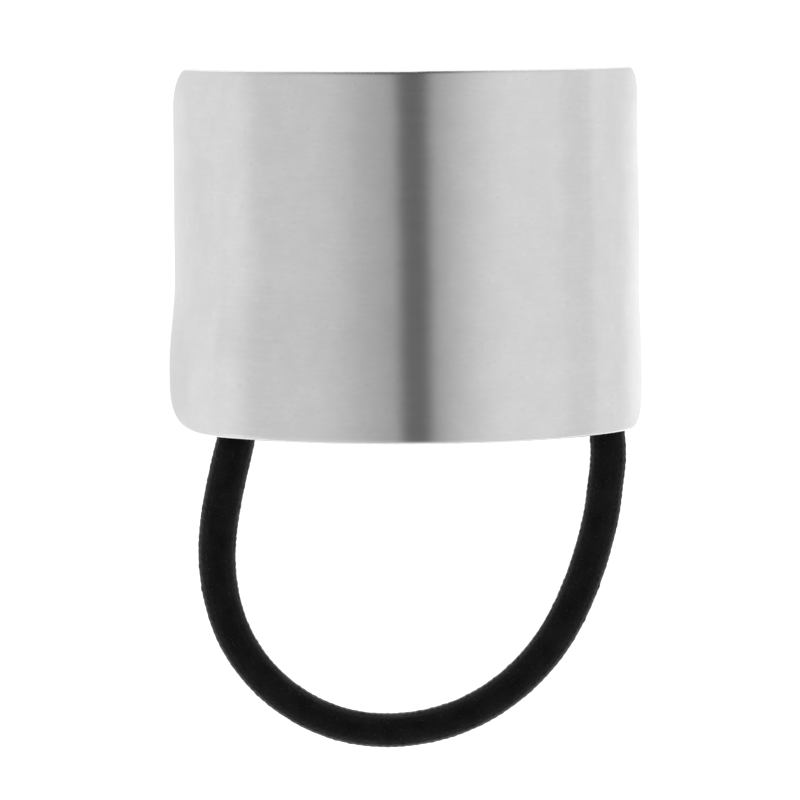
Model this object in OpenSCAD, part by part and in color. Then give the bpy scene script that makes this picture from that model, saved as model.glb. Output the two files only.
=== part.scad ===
// Ponytail cuff: a rolled metal plate that covers the tie of a ponytail. A round covered elastic
// runs through two keepers on the plate's hollow side and comes out as a loop under one edge.
// It is shown as it lies on a table: +X across the arch, +Y along the arch's axis, away from the
// loop, +Z up. The origin is on the table, under the middle of the plate. Millimetres.

/* [Plate] */
// Distance across the plate's two end edges, outside
plate_chord = 53.2; // [40:0.1:65]
// Length of the plate along the arch's axis
plate_len = 41.1; // [34:0.1:60]
// Thickness of the sheet
sheet_t = 1; // [0.6:0.1:1.6]
// Slope of the sheet at its end edges, in degrees from level
end_angle = 71; // [60:1:80]
// Slope where the tighter bend of each end begins, in degrees from level
bend_angle = 40; // [30:1:50]
// Radius of the crown, as a multiple of the radius of the end bends
crown_ratio = 1.33; // [1:0.01:1.6]
// Corner radius at the edge away from the loop
back_corner_r = 3.6; // [1:0.2:6]
// Corner radius at the edge that the loop comes out under
loop_corner_r = 4.8; // [1:0.2:7]
// How far the edge over the loop is flared outwards
flare = 0.6; // [0:0.1:1.5]
// Length of the flared part, from that edge
flare_len = 13.6; // [8:0.2:24]

/* [Keepers] */
// Angle of each keeper from the crown
keeper_angle = 20; // [16:1:25]
// Width of a keeper's strip, measured along the elastic
keeper_w = 3; // [2:0.5:4]
// Thickness of a keeper's strip
keeper_t = 1; // [0.8:0.1:1.4]
// Free space round the elastic inside a keeper
keeper_gap = 0.4; // [0.2:0.05:0.8]

/* [Elastic] */
// Diameter of the elastic with its woven cover
elastic_d = 3.9; // [3:0.1:4.5]

/* [Hidden] */
$fa = 2;
$fs = 0.25;
// How far a cutting shape reaches past what it cuts
cut_over = 1;

// Outer radii of the sheet, which make the end edges stand plate_chord apart. They are whole
// micrometres, so that the bends run into the crown without a step.
function whole_microns(length) = round(length * 1000) / 1000;
end_r = whole_microns(plate_chord / 2 / ((crown_ratio - 1) * sin(bend_angle) + sin(end_angle)));
crown_r = whole_microns(crown_ratio * end_r);
// Angle that an end bend reaches into the crown, so that the two are one solid
bend_overlap = 0.02;
// Axis of an end bend, seen from the crown's axis
bend_x = (crown_r - end_r) * sin(bend_angle);
bend_z = (crown_r - end_r) * cos(bend_angle);
// Height of the crown's axis, with the inner edge of each end on the table
crown_z = -(bend_z + (end_r - sheet_t) * cos(end_angle));

// A keeper's passage is a slot with one round end, which faces the arch's hollow
passage_r = elastic_d / 2 + keeper_gap;
passage_z = crown_r - sheet_t - passage_r;
keeper_leg = passage_r + sheet_t / 2;

// Points that pull the elastic's middle line along, once round its ring. It lies on the table
// outside the plate, climbs to the keepers and crosses under the crown between them.
route = [
    // out of the plate on the left and down that side of the loop
    [-19.3, -20.5, 2], [-20.7, -26, 2], [-21.8, -31.5, 2], [-22.1, -37, 2],
    [-21.1, -42.4, 2], [-18.5, -47.5, 2], [-14.3, -51.8, 2], [-9.2, -54.6, 2],
    // round the foot of the loop and up its right side
    [-3.7, -55.7, 2], [1.8, -55.3, 2], [7, -53.7, 2], [11.8, -50.7, 2],
    [16, -46.4, 2], [18.9, -41.3, 2], [20.9, -36, 2], [22.3, -30.5, 2],
    [23.2, -25, 2], [22.8, -19.7, 2],
    // up the inside of the right end to its keeper
    [21.9, -14.6, 2.4], [20.8, -9.6, 4], [18.5, -5, 6.7], [15.3, -1.7, 9.4],
    // through both keepers, under the crown
    [11.3, 0, 11.9], [6.8, 0.2, 13.6], [2.3, 0.2, 14.3], [-2.3, 0.2, 14.3],
    [-6.7, 0.2, 13.6], [-10.9, 0.2, 12],
    // down from the left keeper to the table
    [-14.3, -1.6, 9.7], [-16.5, -5.4, 7.2], [-17.6, -10.2, 4.5], [-18.3, -15.4, 2.5]
];
// Rings of the tube for each of those points, and sides of a ring
rings_a_point = 2;
tube_sides = 12;

// Place on a closed cubic B-spline, past point i by a share t of the way to the next
function spline_shares(t) =
    [(1 - t) ^ 3, 3 * t ^ 3 - 6 * t ^ 2 + 4, -3 * t ^ 3 + 3 * t ^ 2 + 3 * t + 1, t ^ 3] / 6;
function spline_place(points, i, t) =
    spline_shares(t) * [for (k = [-1:2]) points[(i + k + len(points)) % len(points)]];
function closed_spline(points, steps) =
    [for (i = [0:len(points) - 1], j = [0:steps - 1]) spline_place(points, i, j / steps)];

function unit(v) = v / norm(v);

// Corners of the tube's ring round place i of a closed line
function ring_points(line, i, r, sides) =
    let (
        count = len(line),
        along = line[(i + 1) % count] - line[(i - 1 + count) % count],
        across = unit(cross(along, [0, 0, 1])),
        up = unit(cross(across, along))
    )
    [for (k = [0:sides - 1]) line[i] + r * (cos(360 * k / sides) * across + sin(360 * k / sides) * up)];

// Side faces of a closed tube, each between two rings and two corners
function tube_faces(rings, sides) = [
    for (i = [0:rings - 1], k = [0:sides - 1])
        let (next_ring = (i + 1) % rings, next_side = (k + 1) % sides)
        [i * sides + k, i * sides + next_side, next_ring * sides + next_side, next_ring * sides + k]
];

// Section of the sheet along the arch's axis, as distance from that axis and place along it
module sheet_section(outer_r) {
    inner_r = outer_r - sheet_t;
    back = -plate_len / 2;
    front = plate_len / 2;
    bend = front - flare_len;
    polygon([
        [inner_r, back], [outer_r, back], [outer_r, bend],
        [outer_r + flare, front], [inner_r + flare, front], [inner_r, bend]
    ]);
}

// Part of the sheet that is rolled about one axis, between two angles from the top
module sheet_arc(outer_r, from, to) {
    rotate([90, 0, 0])
        rotate_extrude(start = 90 - to, angle = to - from)
            sheet_section(outer_r);
}

// What a rounded corner takes off an end bend. edge is 1 at the loop's edge, -1 at the other
module corner_cut(corner_r, edge) {
    depth = sheet_t + flare + 2 * cut_over;
    rotate([90, 0, 0])
        rotate([0, 0, 90 - end_angle])
            translate([end_r - sheet_t - cut_over, 0, 0])
                rotate([90, 0, 90])
                    linear_extrude(depth)
                        scale([1, edge])
                            translate([corner_r, plate_len / 2 - corner_r])
                                difference() {
                                    translate([-corner_r - cut_over, 0])
                                        square(corner_r + cut_over);
                                    circle(corner_r);
                                }
}

// One end of the sheet, on the +X side, seen from the crown's axis
module end_bend() {
    translate([bend_x, 0, bend_z])
        difference() {
            sheet_arc(end_r, bend_angle - bend_overlap, end_angle);
            corner_cut(loop_corner_r, 1);
            corner_cut(back_corner_r, -1);
        }
}

// Outline of a keeper's strip, or of its passage, across the elastic
module slot_outline(r, leg) {
    circle(r);
    translate([-r, 0])
        square([2 * r, leg]);
}

// Staple of flat strip that stands on the sheet's hollow side and holds the elastic there
module keeper() {
    rotate([90, 0, 90])
        translate([0, passage_z])
            linear_extrude(keeper_w, center = true)
                difference() {
                    slot_outline(passage_r + keeper_t, keeper_leg);
                    slot_outline(passage_r, keeper_leg + cut_over);
                }
}

// The plate and its two keepers, which are soldered to it, as one piece of metal
module cuff_plate() {
    color("gainsboro")
        translate([0, 0, crown_z])
            union() {
                sheet_arc(crown_r, -bend_angle, bend_angle);
                end_bend();
                mirror([1, 0, 0])
                    end_bend();
                for (side = [-1, 1])
                    rotate([0, side * keeper_angle, 0])
                        keeper();
            }
}

// The covered elastic, one ring without ends
module elastic() {
    line = closed_spline(route, rings_a_point);
    color([0.08, 0.08, 0.08])
        polyhedron(
            [for (i = [0:len(line) - 1]) each ring_points(line, i, elastic_d / 2, tube_sides)],
            tube_faces(len(line), tube_sides),
            convexity = 6
        );
}

cuff_plate();
elastic();
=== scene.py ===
"""Ponytail cuff: an arched plate of brushed metal with a covered elastic, as it lies on a pale table.

Lengths named here are in millimetres, as in the part, and are turned to metres where a mesh is made.
"""
import math

import bpy
import numpy as np
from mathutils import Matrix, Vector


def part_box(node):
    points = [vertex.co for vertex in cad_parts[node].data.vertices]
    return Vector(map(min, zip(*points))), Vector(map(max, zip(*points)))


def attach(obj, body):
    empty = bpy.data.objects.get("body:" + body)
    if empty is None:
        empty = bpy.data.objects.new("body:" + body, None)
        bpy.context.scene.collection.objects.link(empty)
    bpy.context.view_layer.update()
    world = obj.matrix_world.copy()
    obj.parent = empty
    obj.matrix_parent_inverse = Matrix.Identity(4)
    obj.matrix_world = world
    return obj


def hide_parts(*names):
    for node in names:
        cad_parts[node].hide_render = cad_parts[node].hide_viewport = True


MM = 0.001
SEED = 7

# Camera: the photograph is square. The focal length, the eye's place and its turns in radians were
# fitted to the plate's outline
PHOTO_SIDE_PX = 800
FOCAL_PX = 3785.98
SENSOR = 36
EYE = (-0.82, 27.49, 432.606)
PITCH = -0.1034
ROLL = -0.0049
# Distances, in metres, at which its view begins and ends
CLIP = (0.01, 20)

# Section of the sheet, outside
PLATE_CHORD = 53.2
SHEET_T = 1
CROWN_RATIO = 1.33
BEND_ANGLE = math.radians(40)
END_ANGLE = math.radians(71)
END_R = PLATE_CHORD / 2 / ((CROWN_RATIO - 1) * math.sin(BEND_ANGLE) + math.sin(END_ANGLE))
CROWN_R = CROWN_RATIO * END_R
BEND_X = (CROWN_R - END_R) * math.sin(BEND_ANGLE)
BEND_Z = (CROWN_R - END_R) * math.cos(BEND_ANGLE)
CROWN_Z = -(BEND_Z + (END_R - SHEET_T) * math.cos(END_ANGLE))
BEND_S = CROWN_R * BEND_ANGLE
HALF_S = BEND_S + END_R * (END_ANGLE - BEND_ANGLE)

# Corners of the sheet: half axes round the arch and along it, and the power of their curve, which is
# 2 for an ellipse and more for a squarer corner
BACK_LEFT = (3.8, 4.3, 1.6)
BACK_RIGHT = (2.4, 3.0, 1.6)
LOOP_LEFT = (11.2, 6.2, 2.9)
LOOP_RIGHT = (4.2, 5.2, 2.6)
# Radii on the outer and inner edges of the sheet. The two straight edges are rubbed down further on
# the outer face, which begins to fall there on a larger radius, up to an angle
EDGE_R = 0.38
INNER_EDGE_R = 0.3
RUB_R = 1.0
RUB_ANGLE = math.radians(20)
# How far the rounding reaches over the outer face at the arch's ends and at the straight edges
EDGE_AT_ENDS = EDGE_R
EDGE_AT_SIDES = RUB_R * math.sin(RUB_ANGLE) + EDGE_R * (1 - math.sin(RUB_ANGLE))
# The edge over the loop is flared outwards between two places along the arch's axis, more on the
# left than on the right
FLARE = 0.55
FLARE_SKEW = 0.19
FLARE_FROM = -3
FLARE_TO = -13.5
# At the crown it has this share of its height, which grows to the whole between two shares of the
# way to the arch's ends
FLARE_AT_CROWN = 0.45
CROWN_ZONE = (0.35, 0.85)
# The rolled sheet opens a little towards the loop on its right, and its crown is slightly twisted
TAPER = 0.0035
TWIST = 0.00032
TWIST_REACH = 10
# The back edge is bowed in a little and lies a little further out, most on its right. That comes in
# over a length of the sheet, and to the right of the crown over another
BACK_BOW = 0.1
BACK_RISE = 0.09
BACK_RISE_RIGHT = 0.06
BACK_REACH = 20
RIGHT_REACH = 3
# The right end bulges a little in its middle, from half the way round to it
END_BULGE = 0.15
END_BULGE_AT = 1
END_BULGE_REACH = 7
END_ZONE = (0.5, 1)
# Two slight waves in the sheet: height, radians a millimetre round the arch and along its axis, and
# for the first one its shifts both ways
LONG_WAVE = (0.0012, 0.71, 0.53, 1.3, 0.4)
SHORT_WAVE = (0.0008, 1.13, 0.9)
# Columns of the plate's mesh, and its rows at a corner and from there to the next
PLATE_COLUMNS = 201
CORNER_ROWS = 21
MIDDLE_ROWS = 81
# Places on the edge's rubbed, outer and inner rounding, their ends among them
RUB_STEPS = 5
EDGE_STEPS = 9
INNER_STEPS = 7
# Rings of the rounding that are brushed as the face is
BRUSHED_RINGS = 5

# Keepers, as staples of flat strip with rounded edges
KEEPER_ANGLE = math.radians(20)
KEEPER_W = 3
KEEPER_T = 1
KEEPER_GAP = 0.4
STRIP_CORNER_R = 0.22
ELASTIC_D = 3.9
PASSAGE_R = ELASTIC_D / 2 + KEEPER_GAP
PASSAGE_Z = CROWN_R - SHEET_T - PASSAGE_R
# The legs reach a little into the sheet, and solder swells them over their last stretch
FOOT_REACH = 0.1
SOLDER_SWELL = 0.45
SOLDER_REACH = 0.7
SOLDER_POWER = 2.2
# Places along a leg, round the bend between the legs and at each corner of the strip
LEG_STEPS = 9
BEND_STEPS = 33
CORNER_STEPS = 5

# Points that pull the elastic's middle line along, once round its ring
ROUTE = [
    # out of the plate on the left and down that side of the loop
    (-19.3, -20.5, 2), (-20.7, -26, 2), (-21.8, -31.5, 2), (-22.1, -37, 2),
    (-21.1, -42.4, 2), (-18.5, -47.5, 2), (-14.3, -51.8, 2), (-9.2, -54.6, 2),
    # round the foot of the loop and up its right side
    (-3.7, -55.7, 2), (1.8, -55.3, 2), (7, -53.7, 2), (11.8, -50.7, 2),
    (16, -46.4, 2), (18.9, -41.3, 2), (20.9, -36, 2), (22.3, -30.5, 2),
    (23.2, -25, 2), (22.8, -19.7, 2),
    # up the inside of the right end to its keeper
    (21.9, -14.6, 2.4), (20.8, -9.6, 4), (18.5, -5, 6.7), (15.3, -1.7, 9.4),
    # through both keepers, under the crown
    (11.3, 0, 11.9), (6.8, 0.2, 13.6), (2.3, 0.2, 14.3), (-2.3, 0.2, 14.3),
    (-6.7, 0.2, 13.6), (-10.9, 0.2, 12),
    # down from the left keeper to the table
    (-14.3, -1.6, 9.7), (-16.5, -5.4, 7.2), (-17.6, -10.2, 4.5), (-18.3, -15.4, 2.5),
]
# The place on that line where it leaves the right keeper
KEEPER_MOUTH = (13.2, -0.7, 10.6)
# Steps of that line for each of its points, and rings of the mesh between the points of a path taken along
# it
SPLINE_STEPS = 64
RINGS_A_POINT = 5
# Rings of the cover's mesh and sides of each
RING_COUNT = 850
SIDE_COUNT = 96
# Knitting: columns round the cover, length of a stitch, depths between columns and between
# stitches, lean of a stitch's legs, and how unevenly the stitches stand out
WALES = 14
STITCH = 0.8
WALE_DEPTH = 0.03
STITCH_DEPTH = 0.04
SLANT = 0.5
UNEVEN = 0.02
# Radius of the cover at the foot of its loop. It is thicker up the sides and most at the left mouth,
# and thinner under the plate, each between two places along Y
FOOT_R = 1.97
SIDE_SWELL = 0.10
MOUTH_SWELL = 0.15
HIDDEN_THINNING = 0.16
SIDE_ZONE = (-55, -42)
MOUTH_ZONE = (-44, -28)
HIDDEN_ZONE = (-23, -15)
# The cover lies to one side of the middle line at two places: how far, where along Y, over how long
RIGHT_SHIFT = (-0.15, -27, 2.5)
LEFT_SHIFT = (0.09, -40, 4.5)
# Stray fibres: how many, the shape and scale of the spread of their lengths, their shortest and
# longest, and the radii of the thinnest and thickest
FIBRES = 15000
FIBRE_SPREAD = (3.0, 0.036)
FIBRE_LENGTH = (0.05, 0.40)
FIBRE_R = (0.008, 0.016)
# Each is rooted inside the cover and rises out of it, leaning, to a bend where it turns another way.
# The bend and the tip come after shares of its length, and the bend has a share of its width
ROOT_DEPTH = 0.09
ROOT_RISE = 0.08
FIBRE_LEAN = 0.9
FIBRE_TURN = 0.5
TO_BEND = 0.5
TO_TIP = 0.6
WIDTH_AT_BEND = 0.7
# None comes closer to the table than this
FIBRE_FLOOR = 0.01
# Noise spans about the first of these ranges and lies mostly in the second
NOISE_SPAN = (0.3, 0.7)
NOISE_MIDDLE = (0.35, 0.65)


def add_mesh(name, places, faces, uvs=None, slots=None, materials=()):
    """A mesh object from places in millimetres and faces, with uvs in millimetres for each corner"""
    mesh = bpy.data.meshes.new(name)
    mesh.from_pydata((np.asarray(places, float) * MM).tolist(), [], [tuple(map(int, f)) for f in faces])
    for material in materials:
        mesh.materials.append(material)
    if uvs is not None:
        layer = mesh.uv_layers.new(name="surface")
        layer.data.foreach_set("uv", np.asarray(uvs, np.float32).ravel())
    if slots is not None:
        mesh.polygons.foreach_set("material_index", np.asarray(slots, np.int32))
    mesh.shade_smooth()
    mesh.update()
    thing = bpy.data.objects.new(name, mesh)
    bpy.context.scene.collection.objects.link(thing)
    return thing


def smooth_step(x, start, end):
    """0 up to start, 1 from end, and smooth between them"""
    t = np.clip((x - start) / (end - start), 0, 1)
    return t * t * (3 - 2 * t)


def running_length(points):
    """Length along a line of points, up to each of them"""
    return np.concatenate([[0], np.cumsum(np.linalg.norm(np.diff(points, axis=0), axis=1))])


# Shader nodes

class Shader:
    """A material or world's node tree, with one short call for each kind of node"""

    def __init__(self, owner):
        owner.use_nodes = True
        self.tree = owner.node_tree
        self.tree.nodes.clear()

    def add(self, kind, settings=None, **inputs):
        """A node with its settings, and its inputs by name, as values or as sockets to link from"""
        node = self.tree.nodes.new(kind)
        for name, value in (settings or {}).items():
            setattr(node, name, value)
        for name, value in inputs.items():
            self.put(node, name.replace("_", " "), value)
        return node

    def put(self, node, name, value):
        """Sets or links one input, by its name or by its place"""
        socket = node.inputs[name]
        if isinstance(value, bpy.types.NodeSocket):
            self.tree.links.new(value, socket)
        else:
            socket.default_value = value

    def math(self, operation, *values):
        """One step of arithmetic"""
        node = self.add("ShaderNodeMath", {"operation": operation})
        for place, value in enumerate(values):
            self.put(node, place, value)
        return node.outputs[0]

    def ramp(self, value, start, end, low=0.0, high=1.0, smooth=True):
        """value from start to end becomes low to high, and stays there outside"""
        kind = "SMOOTHSTEP" if smooth else "LINEAR"
        node = self.add("ShaderNodeMapRange", {"interpolation_type": kind, "clamp": True})
        numbers = {"Value": value, "From Min": start, "From Max": end, "To Min": low, "To Max": high}
        for name, number in numbers.items():
            self.put(node, name, number)
        return node.outputs["Result"]

    def blend(self, share, first, second):
        """A number between two, by share"""
        node = self.add("ShaderNodeMix", {"data_type": "FLOAT"})
        for place, value in ((0, share), (2, first), (3, second)):
            self.put(node, place, value)
        return node.outputs[0]

    def surface_place(self, scale, shift=(0, 0, 0)):
        """Place on the surface, in millimetres, times a scale each way"""
        uv = self.add("ShaderNodeUVMap", {"uv_map": "surface"})
        mapping = self.add("ShaderNodeMapping", Vector=uv.outputs[0], Scale=scale, Location=shift)
        return mapping.outputs[0]

    def noise(self, place, detail=2.0, roughness=0.5):
        """Noise at a place, which spans about NOISE_SPAN"""
        node = self.add("ShaderNodeTexNoise", {"noise_dimensions": "2D"}, Vector=place, Scale=1.0,
                        Detail=detail, Roughness=roughness)
        return node.outputs["Fac"]

    def mix_colour(self, share, first, second):
        """A colour between two, by share"""
        node = self.add("ShaderNodeMix", {"data_type": "RGBA"})
        for place, value in ((0, share), (6, first), (7, second)):
            self.put(node, place, value)
        return node.outputs[2]

    def times(self, first, second):
        """One value times another"""
        return self.math("MULTIPLY", first, second)

    def mixture(self, *parts):
        """Sum of values, each times its share"""
        total = self.times(*parts[0])
        for value, share in parts[1:]:
            total = self.math("ADD", total, self.times(value, share))
        return total

    def bump(self, height, strength, depth):
        """Directions of a surface with a relief of a depth in metres"""
        return self.add("ShaderNodeBump", Strength=strength, Distance=depth, Height=height).outputs[0]

    def show(self, shader, output="ShaderNodeOutputMaterial"):
        """Makes a shader what the tree gives"""
        self.put(self.add(output), "Surface", shader.outputs[0])


def grey(value):
    """An opaque grey"""
    return (value, value, value, 1.0)


def new_material(name):
    """A material and its empty shader tree"""
    material = bpy.data.materials.new(name)
    return material, Shader(material)


def brushed_metal():
    """Satin plate: long fine brush marks round the arch, with the gleam drawn out along its axis"""
    material, s = new_material("brushed_metal")
    fine = s.noise(s.surface_place((0.15, 2.7, 1)), detail=1)
    broad = s.noise(s.surface_place((0.08, 1.2, 1), (31, 5, 0)), detail=2)
    cloud = s.noise(s.surface_place((0.32, 0.28, 1), (7, 60, 0)), detail=3)
    scuffs = s.ramp(s.noise(s.surface_place((0.9, 2.4, 1), (17, 23, 0)), detail=2), 0.60, 0.70)
    pits = s.ramp(s.noise(s.surface_place((1.5, 2.2, 1), (41, 11, 0)), detail=1), 0.68, 0.76)
    streaks = s.mixture((fine, 0.5), (broad, 0.5))
    marks = s.ramp(streaks, *NOISE_SPAN, smooth=False)
    clouds = s.ramp(cloud, *NOISE_SPAN, smooth=False)
    tone = s.mixture((marks, 0.3), (clouds, 0.55), (scuffs, 0.3), (pits, -0.8))
    colour = s.mix_colour(tone, grey(0.600), grey(0.645))
    rough = s.ramp(streaks, *NOISE_SPAN, 0.22, 0.25, smooth=False)
    tangent = s.add("ShaderNodeTangent", {"direction_type": "UV_MAP", "uv_map": "surface"})
    skin = s.add("ShaderNodeBsdfPrincipled", Base_Color=colour, Roughness=rough, Metallic=1.0,
                 Anisotropic=0.9, Anisotropic_Rotation=0.25, Tangent=tangent.outputs[0],
                 Normal=s.bump(streaks, 0.1, 0.00002))
    s.show(skin)
    return material


def polished_edge():
    """Edge of the sheet: tumbled bright, with small nicks"""
    material, s = new_material("polished_edge")
    nicks = s.noise(s.surface_place((1.3, 1.3, 1)), detail=4, roughness=0.6)
    colour = s.mix_colour(s.ramp(nicks, *NOISE_MIDDLE), grey(0.80), grey(0.86))
    rough = s.ramp(nicks, *NOISE_SPAN, 0.24, 0.3, smooth=False)
    skin = s.add("ShaderNodeBsdfPrincipled", Base_Color=colour, Roughness=rough, Metallic=1.0,
                 Normal=s.bump(nicks, 0.04, 0.00001))
    s.show(skin)
    return material


def satin_inside():
    """Hollow side and keepers: plain rolled sheet, duller, with faint rolling marks"""
    material, s = new_material("satin_inside")
    rolled = s.noise(s.surface_place((0.5, 4, 1), (3, 9, 0)), detail=3, roughness=0.6)
    cloud = s.noise(s.surface_place((0.35, 0.35, 1), (50, 2, 0)), detail=3)
    tone = s.mixture((rolled, 0.5), (cloud, 0.5))
    colour = s.mix_colour(s.ramp(tone, *NOISE_MIDDLE), grey(0.50), grey(0.60))
    rough = s.ramp(tone, *NOISE_SPAN, 0.36, 0.5, smooth=False)
    skin = s.add("ShaderNodeBsdfPrincipled", Base_Color=colour, Roughness=rough, Metallic=1.0,
                 Normal=s.bump(rolled, 0.35, 0.00003))
    s.show(skin)
    return material


def elastic_cover():
    """Knitted black cover: matt textured yarn with a soft pale bloom at grazing angles"""
    material, s = new_material("elastic_cover")
    yarn = s.noise(s.surface_place((7, 7, 1)), detail=4, roughness=0.65)
    blotch = s.noise(s.surface_place((0.35, 0.5, 1), (13, 4, 0)), detail=2)
    tone = s.mixture((yarn, 0.55), (blotch, 0.45))
    colour = s.mix_colour(s.ramp(tone, *NOISE_MIDDLE), grey(0.002), grey(0.006))
    rough = s.ramp(yarn, *NOISE_SPAN, 0.8, 0.95)
    skin = s.add("ShaderNodeBsdfPrincipled", Base_Color=colour, Roughness=rough,
                 Specular_IOR_Level=0.06, Sheen_Weight=0.38, Sheen_Roughness=0.38,
                 Sheen_Tint=grey(1.0), Normal=s.bump(yarn, 0.6, 0.00005))
    s.show(skin)
    return material


def fibre_with_painted_sheen():
    """Stray ends of the cover's yarn, painted pale with the sheen they show at the cover's rims"""
    material, s = new_material("fibre_with_painted_sheen")
    tone = s.noise(s.surface_place((3, 3, 1)), detail=1)
    # Painted sheen: pale tones on the black yarn's stray ends
    colour = s.mix_colour(s.ramp(tone, 0.45, 0.72), grey(0.03), grey(0.28))
    skin = s.add("ShaderNodeBsdfPrincipled", Base_Color=colour, Roughness=0.8, Specular_IOR_Level=0.2)
    s.show(skin)
    return material


# The plate

def arch_angle(along):
    """Angle from the crown at a length round the outside of the arch"""
    length = np.abs(along)
    angle = np.where(length <= BEND_S, length / CROWN_R, BEND_ANGLE + (length - BEND_S) / END_R)
    return np.sign(along) * angle


def arch_lift(along, across):
    """How far the sheet stands out from its plain section: flare, taper, twist, bulge and waves"""
    to_right = along / HALF_S
    flare = (FLARE - FLARE_SKEW * to_right) * smooth_step(-across, -FLARE_FROM, -FLARE_TO)
    flare *= FLARE_AT_CROWN + (1 - FLARE_AT_CROWN) * smooth_step(np.abs(to_right), *CROWN_ZONE)
    taper = -across * TAPER * (1 + to_right)
    twist = -TWIST * along * across * np.exp(-(along / TWIST_REACH) ** 2)
    bulge = END_BULGE * np.exp(-((across - END_BULGE_AT) / END_BULGE_REACH) ** 2)
    bulge = bulge * smooth_step(to_right, *END_ZONE)
    height, round_it, along_it, shift, other_shift = LONG_WAVE
    waves = height * np.sin(along * round_it + shift) * np.sin(across * along_it + other_shift)
    height, round_it, along_it = SHORT_WAVE
    waves += height * np.sin(along * round_it + across * along_it)
    return flare + taper + twist + bulge + waves


def arch_place(along, across, depth):
    """Place on the sheet, from lengths round the arch, along its axis and below the outer face"""
    angle = arch_angle(along)
    side, size = np.sign(angle), np.abs(angle)
    crown = size <= BEND_ANGLE
    radius = np.where(crown, CROWN_R, END_R) - depth + arch_lift(along, across)
    x = side * (np.where(crown, 0, BEND_X) + radius * np.sin(size))
    z = CROWN_Z + np.where(crown, 0, BEND_Z) + radius * np.cos(size)
    bow = BACK_BOW * (2 * (along / HALF_S) ** 2 - 1) + BACK_RISE
    bow = bow + BACK_RISE_RIGHT * smooth_step(along, 0, RIGHT_REACH)
    bow = bow * smooth_step(across, 0, BACK_REACH)
    return np.stack([x, across + bow, z], -1)


def side_reach(to_edge, corner):
    """How far the sheet reaches round the arch, at a distance from its straight edge, past one corner"""
    half_s, half_v, power = corner[0] - EDGE_AT_ENDS, corner[1] - EDGE_AT_SIDES, corner[2]
    rise = np.clip((half_v - to_edge) / half_v, 0, 1)
    return HALF_S - EDGE_AT_ENDS - half_s * (1 - (1 - rise ** power) ** (1 / power))


def side_normal(to_edge, corner, outwards):
    """Direction out of the sheet's outline there, round the arch and along it"""
    half_s, half_v, power = corner[0] - EDGE_AT_ENDS, corner[1] - EDGE_AT_SIDES, corner[2]
    rise = np.clip((half_v - to_edge) / half_v, 0, 1)
    reach = (1 - rise ** power) ** (1 / power)
    normal = np.stack([reach ** (power - 1) / half_s, outwards * rise ** (power - 1) / half_v], -1)
    return normal / np.linalg.norm(normal, axis=-1, keepdims=True)


def sheet_rows(half_len):
    """Places of the mesh's rows along the arch's axis, close together at the corners"""
    steps = np.sin(np.linspace(0, math.pi / 2, CORNER_ROWS))
    loop_zone = max(LOOP_LEFT[1], LOOP_RIGHT[1]) - EDGE_AT_SIDES
    back_zone = max(BACK_LEFT[1], BACK_RIGHT[1]) - EDGE_AT_SIDES
    inner = half_len - EDGE_AT_SIDES
    loop_rows = -inner + loop_zone * (1 - steps)
    back_rows = inner - back_zone * (1 - steps)
    middle = np.linspace(loop_rows[0], back_rows[0], MIDDLE_ROWS)[1:-1]
    return np.concatenate([loop_rows[::-1], middle, back_rows])


def rim_steps(rub_r):
    """Offsets outwards and depths of the rounded edge, from the outer face to the inner one"""
    rub_sin, rub_cos = math.sin(RUB_ANGLE), math.cos(RUB_ANGLE)
    steps = []
    for a in np.linspace(0, RUB_ANGLE, RUB_STEPS)[1:]:
        steps.append((rub_r * math.sin(a), rub_r * (1 - math.cos(a))))
    reach, fall = steps[-1]
    for a in np.linspace(RUB_ANGLE, math.pi / 2, EDGE_STEPS)[1:]:
        offset = reach + EDGE_R * (math.sin(a) - rub_sin)
        steps.append((offset, fall + EDGE_R * (rub_cos - math.cos(a))))
    reach = steps[-1][0]
    for a in np.linspace(0, math.pi / 2, INNER_STEPS):
        offset = reach - INNER_EDGE_R * (1 - math.cos(a))
        steps.append((offset, SHEET_T - INNER_EDGE_R * (1 - math.sin(a))))
    return steps


def plate_grid(half_len):
    """The outer face as rows of surface places, with its border and the directions out of it"""
    rows = sheet_rows(half_len)
    to_edge = half_len - EDGE_AT_SIDES - np.abs(rows)
    at_loop = rows < 0
    left = -np.where(at_loop, side_reach(to_edge, LOOP_LEFT), side_reach(to_edge, BACK_LEFT))
    right = np.where(at_loop, side_reach(to_edge, LOOP_RIGHT), side_reach(to_edge, BACK_RIGHT))
    share = np.linspace(0, 1, PLATE_COLUMNS)
    along = left[:, None] + (right - left)[:, None] * share
    across = np.broadcast_to(rows[:, None], along.shape)
    index = np.arange(along.size).reshape(along.shape)
    border = np.concatenate([index[:, -1], index[-1, -2:0:-1], index[::-1, 0], index[0, 1:-1]])

    outwards = np.where(at_loop, -1.0, 1.0)
    sides = []
    corners = ((LOOP_RIGHT, BACK_RIGHT, (1, 1)), (LOOP_LEFT, BACK_LEFT, (-1, 1)))
    for loop_corner, back_corner, mirror in corners:
        by_loop = side_normal(to_edge, loop_corner, outwards)
        by_back = side_normal(to_edge, back_corner, outwards)
        sides.append(np.where(at_loop[:, None], by_loop, by_back) * mirror)
    straight = np.ones((PLATE_COLUMNS - 2, 1))
    normals = np.concatenate([sides[0], straight * (0.0, 1.0), sides[1][::-1], straight * (0.0, -1.0)])
    return np.stack([along.ravel(), across.ravel()], -1), index, border, normals


def plate_rings(flat, border, normals):
    """Places and surface places of the rings round the sheet's edge"""
    rub_r = EDGE_R + (RUB_R - EDGE_R) * normals[:, 1] ** 2
    rings = []
    for offset, depth in rim_steps(rub_r):
        ring = flat[border] + normals * offset[:, None]
        surface = flat[border] + normals * (offset + depth)[:, None]
        rings.append((arch_place(ring[:, 0], ring[:, 1], depth), surface))
    return rings


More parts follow.
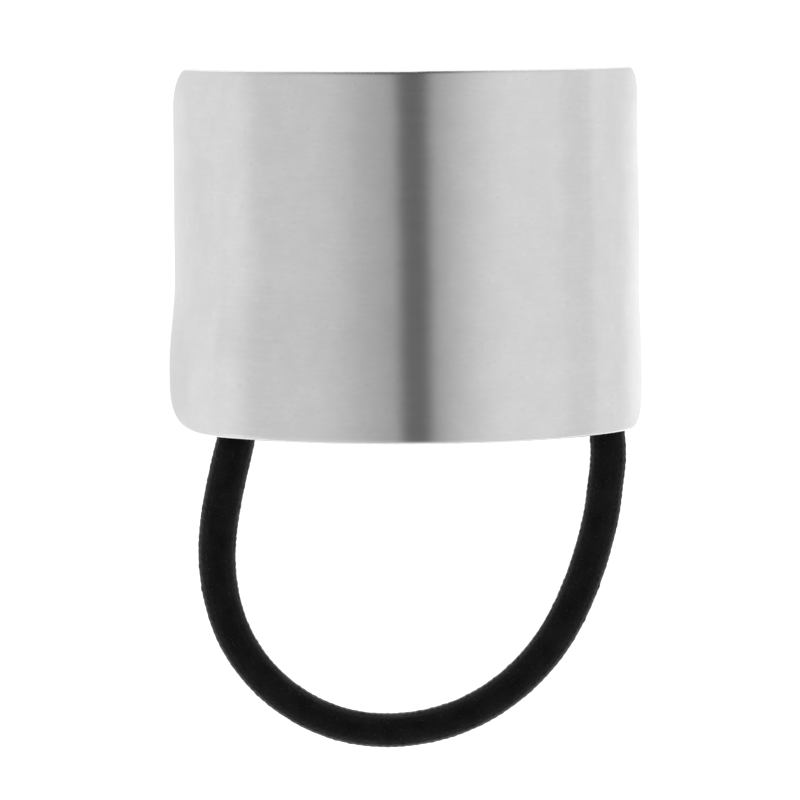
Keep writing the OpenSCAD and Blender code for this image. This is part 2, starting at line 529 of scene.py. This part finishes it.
def make_plate(materials):
    """The rolled sheet, as one closed mesh: outer face, rounded edge and inner face"""
    low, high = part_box("cuff_plate")
    flat, index, border, normals = plate_grid((high.y - low.y) / 2 / MM)
    rings = plate_rings(flat, border, normals)
    outer_face = arch_place(flat[:, 0], flat[:, 1], 0.0)
    inner_face = arch_place(flat[:, 0], flat[:, 1], float(SHEET_T))
    places = np.concatenate([outer_face] + [ring for ring, _ in rings] + [inner_face])
    # The inner face has surface places of its own, well away from the outer face's
    away = (0, 100)
    surface = np.concatenate([flat] + [ring for _, ring in rings] + [flat + away])

    corners = index[:-1, :-1], index[:-1, 1:], index[1:, 1:], index[1:, :-1]
    outer = np.stack(corners, -1).reshape(-1, 4)
    inner_start = len(places) - len(flat)
    inner = outer[:, ::-1] + inner_start
    count = len(border)
    loops = [border] + [len(flat) + r * count + np.arange(count) for r in range(len(rings))]
    loops.append(border + inner_start)
    rim = np.concatenate([
        np.stack([first, second, np.roll(second, -1), np.roll(first, -1)], -1)
        for first, second in zip(loops[:-1], loops[1:])
    ])
    faces = np.concatenate([outer, rim, inner])
    # The brushing runs over the first part of the rounding
    brushed = BRUSHED_RINGS * count
    slots = np.repeat([0, 1, 2], [len(outer) + brushed, len(rim) - brushed, len(inner)])
    uvs = surface[faces]
    # The last ring of the edge joins the inner face, whose own surface places lie elsewhere
    last = len(outer) + len(rim) - count
    uvs[last:last + count, 1:3] = surface[faces[last:last + count][:, [0, 3]]]
    plate = add_mesh("plate", places, faces, uvs.reshape(-1, 2), slots, materials)
    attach(plate, "root")
    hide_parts("cuff_plate")
    return plate


# The keepers

def keeper_path():
    """Middle line of a keeper's strip across the elastic, and how far the solder at its feet swells it"""
    bend_r = PASSAGE_R + KEEPER_T / 2
    leg = PASSAGE_R + FOOT_REACH
    heights = np.linspace(leg, 0, LEG_STEPS)
    turn = np.linspace(0, math.pi, BEND_STEPS)
    points = [(-bend_r, h) for h in heights]
    points += [(-bend_r * math.cos(t), -bend_r * math.sin(t)) for t in turn[1:]]
    points += [(bend_r, h) for h in heights[::-1][1:]]
    points = np.array(points)
    soldered = np.clip((points[:, 1] - (leg - SOLDER_REACH)) / SOLDER_REACH, 0, 1)
    return points, SOLDER_SWELL * soldered ** SOLDER_POWER


def strip_outline():
    """Rounded outline of the flat strip: across its width and its thickness"""
    corner = STRIP_CORNER_R
    outline = []
    for k, (cx, cy) in enumerate([(1, 1), (-1, 1), (-1, -1), (1, -1)]):
        for t in np.linspace(0, math.pi / 2, CORNER_STEPS):
            angle = t + k * math.pi / 2
            outline.append((cx * (KEEPER_W / 2 - corner) + corner * math.cos(angle),
                            cy * (KEEPER_T / 2 - corner) + corner * math.sin(angle)))
    return np.array(outline)


def make_keeper(name, side, material):
    """Staple of flat strip soldered under the crown, on the side given"""
    points, swell = keeper_path()
    outline = strip_outline()
    along = np.gradient(points, axis=0)
    along /= np.linalg.norm(along, axis=1, keepdims=True)
    normal = np.stack([along[:, 1], -along[:, 0]], -1)
    signs = np.sign(outline)
    rings = []
    for point, out, grow in zip(points, normal, swell):
        widths = outline[:, 0] + signs[:, 0] * grow
        depths = outline[:, 1] + signs[:, 1] * grow
        cross = point + depths[:, None] * out
        rings.append(np.stack([widths, cross[:, 0], cross[:, 1] + PASSAGE_Z], -1))
    count, sides = len(rings), len(outline)
    local = np.concatenate(rings)
    angle = side * KEEPER_ANGLE
    x = local[:, 0] * math.cos(angle) + local[:, 2] * math.sin(angle)
    z = -local[:, 0] * math.sin(angle) + local[:, 2] * math.cos(angle) + CROWN_Z
    places = np.stack([x, local[:, 1], z], -1)
    index = np.arange(count * sides).reshape(count, sides)
    following = np.roll(index, -1, axis=1)
    quads = np.stack([index[:-1], following[:-1], following[1:], index[1:]], -1).reshape(-1, 4)
    run = running_length(points)
    girth = running_length(np.vstack([outline, outline[:1]]))
    faces = [tuple(q) for q in quads]
    uvs = []
    for i in range(count - 1):
        for j in range(sides):
            uvs += [(girth[j], run[i]), (girth[j + 1], run[i])]
            uvs += [(girth[j + 1], run[i + 1]), (girth[j], run[i + 1])]
    ends = [tuple(index[0][::-1]), tuple(index[-1])]
    for end in ends:
        faces.append(end)
        uvs += [tuple(places[i][:2]) for i in end]
    keeper = add_mesh(name, places, faces, uvs, None, [material])
    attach(keeper, "root")
    return keeper


# The elastic

def ring_line(count):
    """Places at even steps round the elastic's middle line, a closed spline of the route's points"""
    points = np.array(ROUTE, float)
    t = np.linspace(0, 1, SPLINE_STEPS, endpoint=False)[:, None]
    weights = np.stack([
        (1 - t) ** 3, 3 * t ** 3 - 6 * t ** 2 + 4, -3 * t ** 3 + 3 * t ** 2 + 3 * t + 1, t ** 3
    ]) / 6
    line = np.concatenate([
        sum(weights[k] * points[(i + k - 1) % len(points)] for k in range(4)) for i in range(len(points))
    ])
    closed = np.vstack([line, line[:1]])
    run = running_length(closed)
    even = np.linspace(0, run[-1], count, endpoint=False)
    return np.stack([np.interp(even, run, closed[:, k]) for k in range(3)], -1), run[-1]


def ring_frames(line):
    """Two directions across a closed line at each place, turned as little as lets its ends meet"""
    ahead = np.roll(line, -1, 0) - np.roll(line, 1, 0)
    ahead /= np.linalg.norm(ahead, axis=1, keepdims=True)
    side = np.cross(ahead[0], (0, 0, 1.0))
    sides = []
    for direction in list(ahead) + [ahead[0]]:
        side = side - np.dot(side, direction) * direction
        side = side / np.linalg.norm(side)
        sides.append(side)
    last, first = sides.pop(), sides[0]
    gap = math.atan2(np.dot(np.cross(last, first), ahead[0]), np.dot(last, first))
    sides = np.array(sides)
    ups = np.cross(sides, ahead)
    turn = np.linspace(0, gap, len(line), endpoint=False)[:, None]
    return (sides * np.cos(turn) - ups * np.sin(turn), sides * np.sin(turn) + ups * np.cos(turn))


def cover_radius(line):
    """Radius of the covered elastic, which is a little thinner at the foot of its loop and in the keepers"""
    x, y = line[:, 0], line[:, 1]
    up_the_side = smooth_step(y, *SIDE_ZONE)
    hidden = smooth_step(y, *HIDDEN_ZONE)
    left_mouth = smooth_step(y, *MOUTH_ZONE) * (x < 0)
    thicker = (SIDE_SWELL + MOUTH_SWELL * left_mouth) * up_the_side
    thinner = (HIDDEN_THINNING + MOUTH_SWELL * left_mouth) * hidden
    return FOOT_R + thicker - thinner


def cover_shift(line):
    """How far the cover lies to one side of the middle line"""
    x, y = line[:, 0], line[:, 1]
    shift = np.zeros(len(line))
    for (size, at, reach), there in ((RIGHT_SHIFT, x > 0), (LEFT_SHIFT, x < 0)):
        shift += size * np.exp(-((y - at) / reach) ** 2) * there
    return shift


def knitted_relief(turn, length):
    """How far the cover stands out at each ring and side: columns of V-shaped stitches"""
    stitches = round(length / STITCH)
    column = (turn * WALES / (2 * math.pi)) % 1 * 2 - 1
    rows = np.arange(RING_COUNT) / RING_COUNT * stitches
    wale = 1 - column ** 4
    place = rows[:, None] + SLANT * np.abs(column)[None, :]
    legs = np.cos(2 * math.pi * place)
    relief = WALE_DEPTH * (wale[None, :] - 1) + STITCH_DEPTH * (legs - 1) / 2
    # Each stitch stands out a little more or less than the next
    swell = np.random.default_rng(SEED + 1).normal(0, UNEVEN, (stitches, WALES))
    of_wale = np.broadcast_to((turn * WALES / (2 * math.pi)).astype(int) % WALES, place.shape)
    of_stitch = np.floor(place + 0.5).astype(int) % stitches
    relief += swell[of_stitch, of_wale] * (1 + legs) / 2 * wale[None, :]
    return relief


def tube_uvs(length):
    """Surface places of the cover's quads, along it and round it"""
    run = np.arange(RING_COUNT + 1) / RING_COUNT * length
    girth = np.arange(SIDE_COUNT + 1) / SIDE_COUNT * math.pi * ELASTIC_D
    near = np.meshgrid(run[:-1], girth[:-1], indexing="ij")
    far = np.meshgrid(run[1:], girth[1:], indexing="ij")
    corners = (near[0], near[1]), (near[0], far[1]), (far[0], far[1]), (far[0], near[1])
    return np.stack([np.stack(corner, -1) for corner in corners], 2)


def make_elastic(material):
    """The elastic ring with its knitted cover, and the line, directions and radii that carry its fibres"""
    line, length = ring_line(RING_COUNT)
    radius = cover_radius(line)
    line = line + np.stack([cover_shift(line), 0 * radius, radius - ELASTIC_D / 2], -1)
    first, second = ring_frames(line)
    turn = np.linspace(0, 2 * math.pi, SIDE_COUNT, endpoint=False)
    reach = radius[:, None] + knitted_relief(turn, length)
    over = np.cos(turn)[None, :, None] * first[:, None, :]
    outwards = over + np.sin(turn)[None, :, None] * second[:, None, :]
    places = line[:, None, :] + reach[..., None] * outwards
    index = np.arange(RING_COUNT * SIDE_COUNT).reshape(RING_COUNT, SIDE_COUNT)
    across, along = np.roll(index, -1, 1), np.roll(index, -1, 0)
    both = np.roll(along, -1, 1)
    faces = np.stack([index, across, both, along], -1).reshape(-1, 4)
    uvs = tube_uvs(length)
    elastic = add_mesh("elastic_cover", places.reshape(-1, 3), faces, uvs.reshape(-1, 2), None, [material])
    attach(elastic, "root")
    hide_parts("elastic")
    return elastic, line, first, second, radius


def make_fuzz(line, first, second, radius, material):
    """Short stray fibres on the cover, as thin tapered spikes with one bend"""
    count = FIBRES
    rng = np.random.default_rng(SEED)
    at = rng.integers(0, len(line), count)
    turn = rng.uniform(0, 2 * math.pi, count)
    length = rng.gamma(*FIBRE_SPREAD, count).clip(*FIBRE_LENGTH)
    lean = rng.normal(0, FIBRE_LEAN, (count, 2))
    fibre_r = rng.uniform(*FIBRE_R, count)
    out = np.cos(turn)[:, None] * first[at] + np.sin(turn)[:, None] * second[at]
    ahead = np.cross(first, second)[at]
    around = np.cross(ahead, out)
    root = line[at] + out * (radius[at] - ROOT_DEPTH)[:, None]
    heading = out + lean[:, :1] * ahead + lean[:, 1:] * around
    heading /= np.linalg.norm(heading, axis=1, keepdims=True)
    middle = root + out * ROOT_RISE + heading * (length * TO_BEND)[:, None]
    droop = heading + rng.normal(0, FIBRE_TURN, (count, 3))
    droop /= np.linalg.norm(droop, axis=1, keepdims=True)
    tip = middle + droop * (length * TO_TIP)[:, None]
    foot_corners, bend_corners = [], []
    for k in range(3):
        a = 2 * math.pi * k / 3
        corner = (math.cos(a) * ahead + math.sin(a) * around) * fibre_r[:, None]
        foot_corners.append(root + corner)
        bend_corners.append(middle + corner * WIDTH_AT_BEND)
    places = np.stack(foot_corners + bend_corners + [tip], 1)
    places[..., 2] = np.maximum(places[..., 2], FIBRE_FLOOR)
    start = np.arange(count)[:, None] * places.shape[1]
    quads = np.array([[0, 1, 4, 3], [1, 2, 5, 4], [2, 0, 3, 5]])
    points = np.array([[3, 4, 6], [4, 5, 6], [5, 3, 6]])
    faces = [tuple(f) for shape in (*quads, *points) for f in (start + shape)]
    # Surface places that differ from fibre to fibre, for their tones
    uvs = np.array([(v % 50, v % 9) for f in faces for v in f], float)
    fuzz = add_mesh("elastic_fuzz", places.reshape(-1, 3), faces, uvs, None, [material])
    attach(fuzz, "root")
    return fuzz


# Light, table and camera

def over_lean(s, lean, start, end, low=0.0, high=1.0):
    """A ramp over the lean from overhead, in degrees, + to the right"""
    return s.ramp(lean, math.radians(start), math.radians(end), low, high)


def dark_slot(s, lean, z):
    """Where the tent is open overhead: 1 in the slot, 0 beside it and low down"""
    open_left = over_lean(s, lean, -5.8, -0.3)
    open_right = over_lean(s, lean, 7.3, 13.3, 1.0, 0.0)
    return s.times(s.times(open_left, open_right), s.ramp(z, 0.25, 0.5))


def tent_right(s, lean, y):
    """Light of the tent's right side"""
    light = s.math("SUBTRACT", over_lean(s, lean, -5, 48, 0.44, 1.05), over_lean(s, lean, 69, 75, 0.0, 0.08))
    # A seam, darker on the side of the slot
    seam = s.times(over_lean(s, lean, 9, 14), over_lean(s, lean, 17, 19, 0.04, 0.0))
    light = s.math("SUBTRACT", light, s.times(seam, s.ramp(y, -0.06, -0.035, 1.0, 0.2)))
    # It is a little darker beside the slot at the front
    shade = s.times(over_lean(s, lean, 22, 30, 0.035, 0.0), s.ramp(y, -0.22, -0.12, 1.0, 0.0))
    return s.math("SUBTRACT", light, shade)


def tent_left(s, lean, y):
    """Light of the tent's left side"""
    light = s.math("ADD", over_lean(s, lean, -45, 5, 0.88, 0.50), over_lean(s, lean, -80, -65, 0.18, 0.0))
    # A seam, darker on the side of the slot
    seam = s.times(over_lean(s, lean, -23, -21.5), over_lean(s, lean, -21, -14, 0.025, 0.0))
    light = s.math("SUBTRACT", light, seam)
    # It is brighter towards the front, most of all low down
    low_front = s.times(over_lean(s, lean, -80, -64, 0.10, 0.0), s.ramp(y, -0.20, -0.08, 1.0, 0.0))
    light = s.math("ADD", light, low_front)
    light = s.times(light, s.ramp(y, -0.2, -0.01, 1.10, 0.94, smooth=False))
    light = s.times(light, s.ramp(y, -0.05, -0.02, 1.0, 0.97))
    # It is darker overhead than behind
    light = s.times(light, s.ramp(y, -0.035, -0.012, 1.0, 0.98))
    return s.times(light, s.ramp(y, 0.0, 0.05, 1.0, 1.08))


def make_world():
    """Light tent: bright all round, with a dark slot overhead along the arch"""
    slot_light, front_light = 0.165, 0.95
    world = bpy.data.worlds.new("light_tent")
    bpy.context.scene.world = world
    s = Shader(world)
    way = s.add("ShaderNodeTexCoord").outputs["Generated"]
    x, y, z = s.add("ShaderNodeSeparateXYZ", Vector=way).outputs
    lean = s.math("ARCTAN2", x, z)
    at_right = s.math("GREATER_THAN", lean, 0)
    right = s.times(tent_right(s, lean, y), at_right)
    left = s.times(tent_left(s, lean, y), s.math("SUBTRACT", 1.0, at_right))
    light = s.blend(dark_slot(s, lean, z), s.math("ADD", right, left), slot_light)
    # The wall beyond the back edge is dark behind the slot and paler to either side, and the one in
    # front of the loop is bright
    wall = s.math("MAXIMUM", s.ramp(x, -0.80, -0.14, 0.68, 0.12, smooth=False),
                  s.ramp(x, 0.24, 0.52, 0.12, 0.80, smooth=False))
    light = s.blend(s.ramp(y, 0.32, 0.70), light, wall)
    light = s.blend(s.ramp(y, -0.8, -0.5, 1.0, 0.0), light, front_light)
    s.show(s.add("ShaderNodeBackground", Color=grey(1.0), Strength=light), "ShaderNodeOutputWorld")


def make_table():
    """Pale table, lit a little from within as a light table is, with painted light beside the plate:
    stronger and weaker glow there, which the plate reflects and which fills in the table's shadows
    """
    material, s = new_material("table")
    place = s.add("ShaderNodeTexCoord").outputs["Object"]
    # Distance from the object, whose loop is stretched out towards -Y
    around = s.add("ShaderNodeMapping", Vector=place, Scale=(1, 0.6, 1), Location=(0, 0.011, 0))
    reach = s.add("ShaderNodeVectorMath", {"operation": "LENGTH"}, Vector=around.outputs[0])
    x, y, _ = s.add("ShaderNodeSeparateXYZ", Vector=place).outputs
    # Painted light: beside the plate it glows by another amount on each side, and more towards the back, for
    # the plate's ends to reflect
    left = s.ramp(y, -0.012, -0.004, 0.90, 1.0)
    right = s.ramp(x, 0.027, 0.034, 1.22, 1.04, smooth=False)
    near = s.blend(s.math("GREATER_THAN", x, 0.0), left, right)
    near = s.times(near, s.ramp(y, 0.006, 0.014, 1.0, 1.08))
    # In front of the plate it is even too
    near = s.blend(s.ramp(y, -0.024, -0.018), 1.1, near)
    # Under the arch it is even
    near = s.blend(s.ramp(s.math("ABSOLUTE", x), 0.020, 0.025), 1.05, near)
    # Further off it is even, with painted light a little brighter at the left front
    far = s.times(s.ramp(x, -0.042, -0.032, 0.08, 0.0), s.ramp(y, -0.016, -0.004, 1.0, 0.0))
    far_off = s.ramp(reach.outputs["Value"], 0.028, 0.040)
    # Painted light on the table: its glow, stronger or weaker beside the plate
    painted_glow = s.blend(far_off, near, s.math("ADD", far, 0.93))
    skin = s.add("ShaderNodeBsdfPrincipled", Base_Color=grey(0.14), Roughness=0.9,
                 Specular_IOR_Level=0.0, Emission_Color=grey(1.0), Emission_Strength=painted_glow)
    s.show(skin)
    half = 2500
    corners = [(-half, -half, 0), (half, -half, 0), (half, half, 0), (-half, half, 0)]
    uvs = [(0, 0), (1, 0), (1, 1), (0, 1)]
    table = add_mesh("table", corners, [(0, 1, 2, 3)], uvs, None, [material])


def make_backdrop():
    """White dome far off, for views from low down. It gives no light and shows in no reflection"""
    material, s = new_material("backdrop")
    paper = s.add("ShaderNodeEmission", Color=grey(1.0), Strength=1.0)
    s.show(paper)
    radius, sides, levels = 2400, 64, 16
    # It begins a little below the table and is left open at the very top
    below = 0.02
    turn = np.linspace(0, 2 * math.pi, sides, endpoint=False)
    rise = np.linspace(-below, math.pi / 2 - below, levels)[:, None]
    places = radius * np.stack([
        np.cos(turn) * np.cos(rise), np.sin(turn) * np.cos(rise), np.sin(rise) * np.ones(sides)
    ], -1)
    index = np.arange(levels * sides).reshape(levels, sides)
    following = np.roll(index, -1, axis=1)
    faces = np.stack([index[:-1], following[:-1], following[1:], index[1:]], -1).reshape(-1, 4)
    dome = add_mesh("backdrop", places.reshape(-1, 3), faces, None, None, [material])
    for ray in ("diffuse", "glossy", "transmission", "volume_scatter", "shadow"):
        setattr(dome, "visible_" + ray, False)


def make_lights():
    """Two large soft lights, left and right"""
    aside, height = 0.55, 0.6
    for name, x, power in (("softbox_left", -aside, 1.6), ("softbox_right", aside, 2.0)):
        light = bpy.data.lights.new(name, "AREA")
        light.shape = "RECTANGLE"
        light.size, light.size_y = 0.5, 0.9
        light.energy = power
        lamp = bpy.data.objects.new(name, light)
        lamp.location = (x, 0, height)
        lamp.rotation_euler = (0, math.atan2(x, height), 0)
        lamp.visible_glossy = False
        bpy.context.scene.collection.objects.link(lamp)


def make_camera():
    """The photograph's camera, almost straight above the plate"""
    camera = bpy.data.cameras.new("camera")
    camera.sensor_width = SENSOR
    camera.lens = FOCAL_PX / PHOTO_SIDE_PX * SENSOR
    camera.clip_start, camera.clip_end = CLIP
    seat = bpy.data.objects.new("camera", camera)
    seat.location = [v * MM for v in EYE]
    seat.rotation_mode = "ZYX"
    seat.rotation_euler = (PITCH, 0, ROLL)
    bpy.context.scene.collection.objects.link(seat)
    bpy.context.scene.camera = seat


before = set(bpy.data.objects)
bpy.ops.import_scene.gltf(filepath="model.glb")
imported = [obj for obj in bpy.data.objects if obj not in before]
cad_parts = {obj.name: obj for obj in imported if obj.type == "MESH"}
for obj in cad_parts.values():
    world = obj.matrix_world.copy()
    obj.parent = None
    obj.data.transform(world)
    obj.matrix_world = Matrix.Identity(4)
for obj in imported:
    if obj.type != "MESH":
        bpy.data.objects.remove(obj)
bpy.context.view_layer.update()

make_camera()
elastic, middle, first, second, radius = make_elastic(elastic_cover())
fuzz = make_fuzz(middle, first, second, radius, fibre_with_painted_sheen())
start = int(np.argmin(np.linalg.norm(middle - np.array(KEEPER_MOUTH), axis=1)))
path = np.roll(middle, -start, 0)
path = np.vstack([path[::RINGS_A_POINT], path[:1]])

inside = satin_inside()
make_plate([brushed_metal(), polished_edge(), inside])
make_keeper("keeper_left", -1, inside)
make_keeper("keeper_right", 1, inside)

make_world()
make_lights()
make_table()
make_backdrop()
bpy.context.scene.view_settings.view_transform = "Standard"
